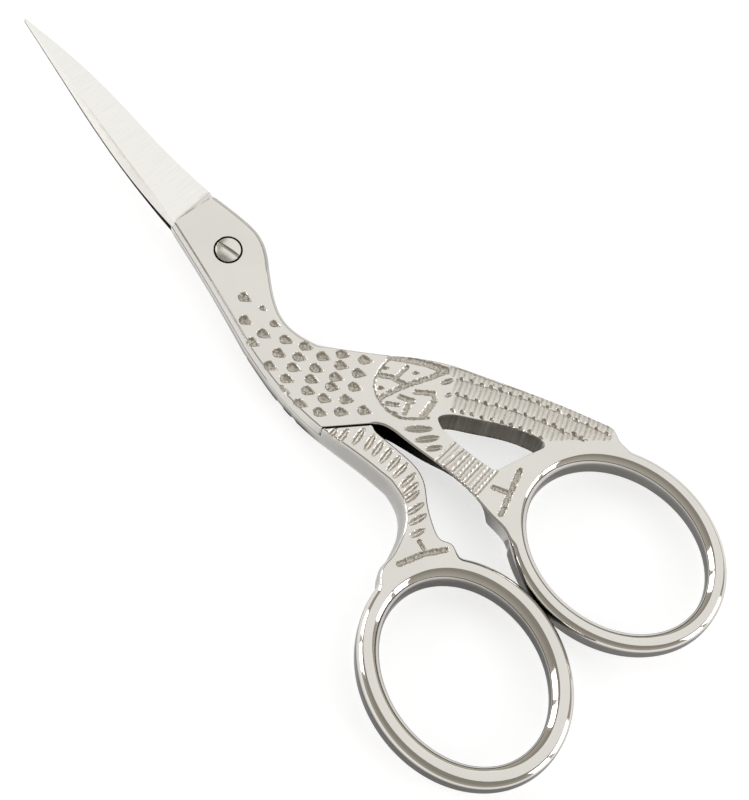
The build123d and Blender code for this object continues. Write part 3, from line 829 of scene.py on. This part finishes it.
def make_half(name, side):
    """One half of the scissors. Built with its own layer upwards, and turned over for the back half."""
    b = Build()
    front = side > 0
    if front:
        runs, joints, oval, ring_width = front_runs(), ["ring", "foot", "back"], FRONT_OVAL, FRONT_RING
        table, leaning = FRONT_LEAN, ("foot", "leg")
    else:
        runs, joints, oval, ring_width = back_runs(), ["ring", "heel"], BACK_OVAL, BACK_RING
        table, leaning = BACK_LEAN, ("heel", "leg_back", "breast_low")
    loop, marks = closed_loop(runs, joints)

    def where(names, times):
        """1 along some runs and 0 along the others, eased."""
        return along(loop, marks, dict.fromkeys(names, 1), 0, times)

    radius = along(loop, marks, RADII, 0.2, 6)
    ring = eased(step_in(where(["ring"], 60) - 0.25, 0.5), 10)
    reach = np.interp(loop[:, 1], *zip(*table)) * where(leaning, 3)
    normal, _ = inward(loop)

    def height(xy):
        return face_height(xy[:, 0], xy[:, 1], side) - carve(xy[:, 0], xy[:, 1])

    notched = NOTCH_DEPTH * where(("shoulder", "nape", "breast", "neck"), 2)
    if front:
        notched[: marks["shoulder"] + 1] = 0
    lean = leaner(normal, reach, front)
    rows = wall_rows(loop, radius, ring, ring_width, lean, height, False, notched)
    upper = [b.add(xy, z) for xy, z in rows]
    b.wall(upper[::-1])

    # The far side of the thick part, with the line that divides it from the lapped layer
    if front:
        first, last = marks["back"], marks["stop"]
        line = curve([NOTCH, LAP_TOP])[1:-1]
    else:
        first, last = marks["under_stop"], marks["breast"]
        line = curve([BACK_STOP_OUTER, BACK_NOTCH])[1:-1]
    kept, pad = slice(first, last + 1), len(line)
    far_loop = np.vstack([loop[kept], line])
    far_radius = np.append(radius[kept], np.full(pad, 0.07))
    far_ring, far_reach = [np.append(v[kept], np.zeros(pad)) for v in (ring, reach)]
    far_normal, _ = inward(far_loop)
    far_normal[: last - first + 1] = normal[kept]
    lean = leaner(far_normal, far_reach, front)
    rows = wall_rows(far_loop, far_radius, far_ring, ring_width, lean, height, True)
    top_row = np.append(upper[0][kept], b.add(line, LAP))
    lower = [top_row] + [b.add(xy, z) for xy, z in rows[1:]]
    b.wall(lower)

    # Finger hole, window and screw hole
    walls = [add_finger_hole(b, oval, ring_width, height)]
    if front:
        window, window_rough_and_painted_shade = add_window(b, height)
        window_ids = np.concatenate(window[2:6])
        walls.append(window)
    bore = add_round(b, FRONT_BORE if front else BACK_BORE, 120)
    for rows in walls + [bore]:
        b.wall(rows[::-1])

    # The two outer faces and the lap face. The outer one has lines of points along the ground edges.
    points = b.points()
    edge = points[upper[-1]][:, :2]
    distance = gap_to(edge)
    y = np.arange(6.1, 33.6, 0.15)
    across = np.linspace(FACET_LEFT, 2.66, 36) * side
    lines = [np.column_stack([blade_sections(y, side)[0][:, 1], y])]
    lines += [np.column_stack([across, facet_line(across, row, side)]) for row in (FLAT_EDGE, BLADE_ROW)]
    lines = [np.array([p for p in line if distance(p) > 0.05]) for line in lines]
    lines = [line[inside([edge], line)] for line in lines]
    lap_ids = np.concatenate([upper[0][last:], upper[0][: first + 1], top_row[last - first + 1 :][::-1]])
    fill(b, [upper[-1]] + [w[0] for w in walls + [bore]], lines, FACE_GRID, height, True, is_carved)
    fill(b, [lower[-1]] + [w[-1] for w in walls], [], FACE_GRID, lambda xy: -height(xy), False, is_carved)
    fill(b, [lap_ids, bore[-1]], [], LAP_GRID, lambda xy: LAP, False)

    pts, faces = b.points(), b.faces
    if side < 0:
        pts = pts * (1, 1, -1)
        faces = [f[::-1] for f in faces]
    half = add_mesh(name, pts, faces)
    x, y, z = pts[:, 0], pts[:, 1], np.abs(pts[:, 2])
    worn, top = carve(x, y), face_height(x, y, side)
    below = top - worn - z

    # Carved floors, and ground blades with a duller facet and bevel
    cut = np.clip((worn - 0.012) / 0.11, 0, 1) * np.clip((z - top + 0.45) / 0.1, 0, 1)
    if front:
        # The window's wall also gets the rough carved colour: rough like the carving, and darker as painted
        # shade
        cut[window_ids] = np.maximum(cut[window_ids], 0.45 * window_rough_and_painted_shade)
    lines = blade_sections(np.maximum(y, 5.5), side)[0]
    on_bevel = np.abs(x - lines[:, 0]) < np.abs(lines[:, 1] - lines[:, 0]) - 0.02
    dull = np.where(y < facet_line(x, BLADE_ROW, side) + 0.01, 2.2, np.where(on_bevel, 1.9, 1.0))
    past_flat = np.clip((y - facet_line(x, FLAT_EDGE, side) - 0.02) / 0.06, 0, 1)
    ground = past_flat * (z > 0.12) * dull

    # Polished rings; rougher flanks, painted darker as painted shade; and near-black painted shade between
    # the legs, low on the rings and low on the neck flank
    bright = (below > 0.004) & (np.hypot(*in_oval(oval, pts[:, :2]).T) < 1.004) & (y < -36)
    # Lower part of the ring walls: the darker flank colour and part of the near-black colour, as painted
    # shade
    ring_side = np.clip((0.68 - z / top) / 0.1, 0, 1) * bright
    neck_side = np.interp(y, [-21.5, -19], [0, 1]) * (x < -1.5) * (y < 6)
    # Flanks below the face edge, except the neck flank: rougher, and painted darker as painted shade
    flank_rough_and_painted_shade = np.clip((below - 0.1) / 0.2, 0, 1) * (y < 5.5) * ~bright * (1 - neck_side)
    # Painted shade in the gap between the legs, strongest on the front half
    gap_x = np.interp(y, [-40, -36, -30, -24], [2.6, 2.2, 1.2, -0.8])
    between = np.interp(y, [-40.5, -38, -35, -24], [0, 0.5, 1, 1]) * (np.abs(x - gap_x) < 1.7) * (y < -23.4)
    between = between * (1.0 if front else 0.4) * np.clip((below - 0.12) / 0.1, 0, 1)
    # Painted shade on the neck flank, darker towards the bottom
    low_edge = np.interp(pts[:, 2], [-2.1, -1.6, -1.1, -0.4], [0.95, 0.6, 0.2, 0.0]) * (below > 0.05)
    crevice = np.maximum.reduce([between, ring_side * (0.5 if front else 0.55), low_edge * neck_side])
    if front:
        # Painted shade on the window's wall, and down the front bore below its chamfer, round the screw
        crevice[window_ids] = 0.95 * window_rough_and_painted_shade
        crevice[np.concatenate(bore[2:])] = 1
    put_numbers(half, cut=cut, ground=ground, bright=bright, side=flank_rough_and_painted_shade + ring_side, crevice=crevice)

    # Faces painted black as painted shadow lines: the joint between the layers, and the thin edge of the
    # back blade
    near_lap = (z < 0.13) & (y > -13) & (y < 6)
    painted_shadow_edge = (y > 6) & (x < lines[:, 2] + 0.05) & (pts[:, 2] < 0)
    seam = []
    for face in map(list, faces):
        joint = near_lap[face].all() and z[face].max() > 0.1
        seam.append(0.9 * joint + 0.85 * (painted_shadow_edge[face].all() and len(face) == 4))
    put_numbers(half, "FACE", seam=seam)
    return half


def put_numbers(obj, domain="POINT", **numbers):
    """Stores numbers for each vertex or face, for the materials."""
    for name, values in numbers.items():
        layer = obj.data.attributes.new(name, "FLOAT", domain)
        layer.data.foreach_set("value", np.asarray(values, np.float32))


def add_object(name, data):
    obj = bpy.data.objects.new(name, data)
    bpy.context.scene.collection.objects.link(obj)
    return obj


def add_mesh(name, pts, faces):
    mesh = bpy.data.meshes.new(name)
    mesh.from_pydata((pts * MM + PIVOT).tolist(), [], faces)
    mesh.validate()
    mesh.update()
    mesh.shade_smooth()
    mesh.set_sharp_from_angle(angle=math.radians(30))
    return add_object(name, mesh)


def dome(r):
    """Height of the screw's domed head at a distance from the axis."""
    ball = (DOME_RADIUS**2 + DOME_RISE**2) / (2 * DOME_RISE)
    return DOME_TOP - (ball - np.sqrt(ball**2 - np.minimum(r, DOME_RADIUS) ** 2))


def make_screw():
    b = Build()
    rows = add_round(b, ((SCREW_EDGE, float(dome(SCREW_EDGE))), *SCREW_SIDE), 160)
    b.wall(rows)
    aside = np.array([math.cos(SLOT_TURN), math.sin(SLOT_TURN)])
    ahead = np.array([-aside[1], aside[0]])

    def height(xy):
        floor = np.interp(np.abs(xy @ aside), [SLOT_HALF - 0.01, SLOT_HALF + 0.008], [SLOT_FLOOR, 3.0])
        return np.minimum(dome(np.hypot(xy[:, 0], xy[:, 1])), floor)

    s = np.linspace(-1.25, 1.25, 44)[:, None]
    lines = [s * ahead + w * aside for w in (-0.19, -0.167, 0.167, 0.19)]

    def off_slot(xy):
        return np.abs(np.abs(xy @ aside) - SLOT_HALF) > 0.03

    fill(b, [rows[0]], lines, 0.08, height, True, wanted=off_slot)
    fill(b, [rows[-1]], [], 0.25, lambda xy: SCREW_END, False)
    pts = b.points()
    screw = add_mesh("pivot_screw_steel", pts, b.faces)
    r, z = np.hypot(pts[:, 0], pts[:, 1]), pts[:, 2]
    slot = (np.abs(pts[:, :2] @ aside) < SLOT_HALF) & (z > 1.4) & (z < dome(r) - 0.05)
    # Painted shade on the lower side of the head, below its rim, near black
    put_numbers(screw, cut=slot, crevice=(r > 1.33) & (z < 1.4))
    return screw


def add_node(tree, kind, inputs, output=0, **settings):
    """An output of a new node. Its inputs are set to numbers or colours, or linked to other outputs."""
    node = tree.nodes.new("ShaderNode" + kind)
    for key, value in settings.items():
        setattr(node, key, value)
    for socket, value in inputs.items():
        if isinstance(value, bpy.types.NodeSocket):
            tree.links.new(value, node.inputs[socket])
        else:
            node.inputs[socket].default_value = value
    return node.outputs[output]


def maths(tree, how, a, b):
    return add_node(tree, "Math", {0: a, 1: b}, operation=how)


def spread(tree, value, low, high, to_low, to_high):
    """A value's range from low to high, drawn out to another range."""
    inputs = {"From Min": low, "From Max": high, "To Min": to_low, "To Max": to_high, "Value": value}
    return add_node(tree, "MapRange", inputs)


def steel(name, base, rough):
    """Nickel plate: fine mottling and scratches, dull grainy floors in the carving, ground blades, and
    painted shade: darker flanks and near-black places.
    """
    m = bpy.data.materials.new(name)
    m.use_nodes = True
    tree = m.node_tree
    coords = add_node(tree, "TexCoord", {}, "Object")

    def noise(scale, detail, place=coords):
        return add_node(tree, "TexNoise", {"Scale": scale, "Detail": detail, "Vector": place}, "Fac")

    def number(name):
        return add_node(tree, "Attribute", {}, "Fac", attribute_name=name)

    def mixed(fac, a, b):
        a, b = [(*v, 1) if isinstance(v, tuple) else v for v in (a, b)]
        return add_node(tree, "Mix", {"Factor": fac, "A": a, "B": b}, "Result", data_type="RGBA")

    def mottled(value, a, b):
        """Between two colours, by a noise."""
        return mixed(spread(tree, value, 0.35, 0.65, 0, 1), a, b)

    def largest(a, b):
        return maths(tree, "MAXIMUM", a, b)

    def times(a, b):
        return maths(tree, "MULTIPLY", a, b)

    drawn_out = add_node(tree, "Mapping", {"Scale": (0.35, 6, 1), "Vector": coords})
    cloud, fleck, pores, brushed = noise(160, 4), noise(2500, 2), noise(9000, 3), noise(900, 3, drawn_out)
    cut, ground, side, bright = [number(n) for n in ("cut", "ground", "side", "bright")]
    # Painted shade: where the halves and the screw are marked to show near black
    crevice = largest(number("crevice"), number("seam"))
    smooth = mottled(cloud, tuple(0.965 * c for c in base), base)
    blade = mixed(spread(tree, brushed, 0.3, 0.7, 0, 1), (0.885, 0.865, 0.835), (0.92, 0.90, 0.87))
    carved = mottled(pores, (0.42, 0.385, 0.34), (0.70, 0.66, 0.60))
    # Darker copy of the plate for the flanks and low ring walls: painted shade, beside their real roughness
    dull = mottled(cloud, (0.44, 0.43, 0.405), (0.53, 0.52, 0.495))
    # Near-black colour of the painted shade and the painted shadow lines
    painted_shade_colour = mottled(fleck, (0.022, 0.02, 0.018), (0.06, 0.056, 0.05))
    face = mixed(side, mixed(ground, smooth, blade), dull)
    roughness = largest(spread(tree, cut, 0, 0.4, 0, 0.46), times(ground, 0.24))
    roughness = largest(roughness, times(side, 0.33))
    roughness = largest(spread(tree, fleck, 0.3, 0.7, rough * 0.8, rough * 1.25), roughness)
    relief = maths(tree, "ADD", times(pores, times(cut, 0.9)), times(fleck, 0.04))
    relief = maths(tree, "ADD", relief, times(brushed, times(ground, 0.12)))
    bump = add_node(tree, "Bump", {"Strength": 0.25, "Distance": 0.00004, "Height": relief})
    bsdf = tree.nodes["Principled BSDF"]
    bsdf.inputs["Metallic"].default_value = 1
    for socket, value in (
        ("Base Color", mixed(cut, mixed(crevice, face, painted_shade_colour), carved)),
        # Specular tint falls to black in the painted shade
        ("Specular Tint", mixed(crevice, (1.0, 1.0, 1.0), (0.0, 0.0, 0.0))),
        ("Roughness", times(roughness, spread(tree, bright, 0, 1, 1, 0.45))),
        ("Normal", bump),
    ):
        tree.links.new(value, bsdf.inputs[socket])
    return m


plate = steel("nickel_plate", (0.76, 0.73, 0.69), 0.15)
screw_plate = steel("screw_plate", (0.80, 0.77, 0.72), 0.27)
for piece, node, body, slot, material in (
    (make_half("front_half_steel", 1), "front_half", "front", "plated_steel", plate),
    (make_half("back_half_steel", -1), "back_half", "back", "plated_steel", plate),
    (make_screw(), "pivot_screw", "back", "screw_steel", screw_plate),
):
    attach(piece, body)
    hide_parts(node)
    piece.data.materials.append(material)

# Camera at the photograph's angle: 20.5 degrees off the vertical, towards the bottom of the picture
camera_data = bpy.data.cameras.new("camera")
camera_data.lens = 143.6
camera_data.clip_start = 0.01
camera_data.clip_end = 10
camera = add_object("camera", camera_data)
tilt, towards = math.radians(20.5), math.radians(104)
aside, down = turned(math.sin(tilt), 0, towards)
back_axis = Vector((aside, -down, math.cos(tilt)))
tilted = Vector((0, 0, 1)).rotation_difference(back_axis).to_matrix()
picture = Matrix.Rotation(TURN, 3, "Z")
place = Vector(PIVOT) + Vector((-89.658, -88.914, 303.538)) * MM
camera.matrix_world = Matrix.Translation(place) @ (picture @ tilted).to_4x4()
bpy.context.scene.camera = camera

# Pale floor that shows white to the camera and keeps the object's shadow
floor_mesh = bpy.data.meshes.new("floor")
floor_mesh.from_pydata([(-2, -2, 0), (2, -2, 0), (2, 2, 0), (-2, 2, 0)], [], [(0, 1, 2, 3)])
floor = add_object("floor", floor_mesh)
floor.location.z = -0.00002
floor_material = bpy.data.materials.new("floor_white")
floor_material.use_nodes = True
tree = floor_material.node_tree
tree.nodes.clear()
path = tree.nodes.new("ShaderNodeLightPath").outputs
shown = maths(tree, "MAXIMUM", path["Is Camera Ray"], maths(tree, "MULTIPLY", path["Is Glossy Ray"], 0.85))
lift = maths(tree, "MULTIPLY", shown, 0.65)
glow = add_node(tree, "Emission", {"Color": (1, 1, 1, 1), "Strength": lift})
diffuse = add_node(tree, "BsdfDiffuse", {"Color": (0.55, 0.555, 0.57, 1)})
output = tree.nodes.new("ShaderNodeOutputMaterial")
tree.links.new(add_node(tree, "AddShader", {0: diffuse, 1: glow}), output.inputs["Surface"])
floor_mesh.materials.append(floor_material)

# Soft studio light, a little weaker from above
world = bpy.data.worlds.new("studio")
bpy.context.scene.world = world
world.use_nodes = True
tree = world.node_tree
up = add_node(tree, "SeparateXYZ", {0: add_node(tree, "TexCoord", {}, "Generated")}, "Z")
background = tree.nodes["Background"]
background.inputs["Color"].default_value = (1, 0.95, 0.84, 1)
tree.links.new(spread(tree, up, 0.0, 0.55, 0.5, 0.3), background.inputs["Strength"])


def lamp(name, place, size, radiance, colour=(1, 1, 1)):
    """A soft box that faces the object, placed to the photograph's right and up, and high."""
    data = bpy.data.lights.new(name, "AREA")
    data.shape = "RECTANGLE"
    data.size, data.size_y = size
    data.energy = radiance * math.pi * size[0] * size[1]
    data.color = colour
    obj = add_object(name, data)
    obj.location = picture @ Vector(place)
    obj.rotation_euler = (-obj.location).to_track_quat("-Z", "Y").to_euler()
    obj.visible_camera = False


def upright_box(name, start, end, top, distance, radiance):
    """A soft box that stands on the floor between two directions, given in degrees from the right."""
    middle = math.radians((start + end) / 2)
    width = 2 * distance * math.tan(math.radians(abs(end - start) / 2))
    rise = distance * math.tan(math.radians(top))
    lamp(name, (*turned(distance, 0, middle), rise / 2), (width, rise), radiance)


lamp("overhead", (0.35, 0.44, 0.81), (1.6, 1.6), 0.7, (0.95, 0.98, 1))
upright_box("left_near", 142, 159, 36, 0.8, 4)
upright_box("left_far", 163, 180, 36, 0.8, 4)
upright_box("right_near", -3, -24, 34, 0.8, 3.5)
upright_box("right_far", -28, -44, 34, 0.8, 3.5)
bpy.context.scene.view_settings.view_transform = "Standard"
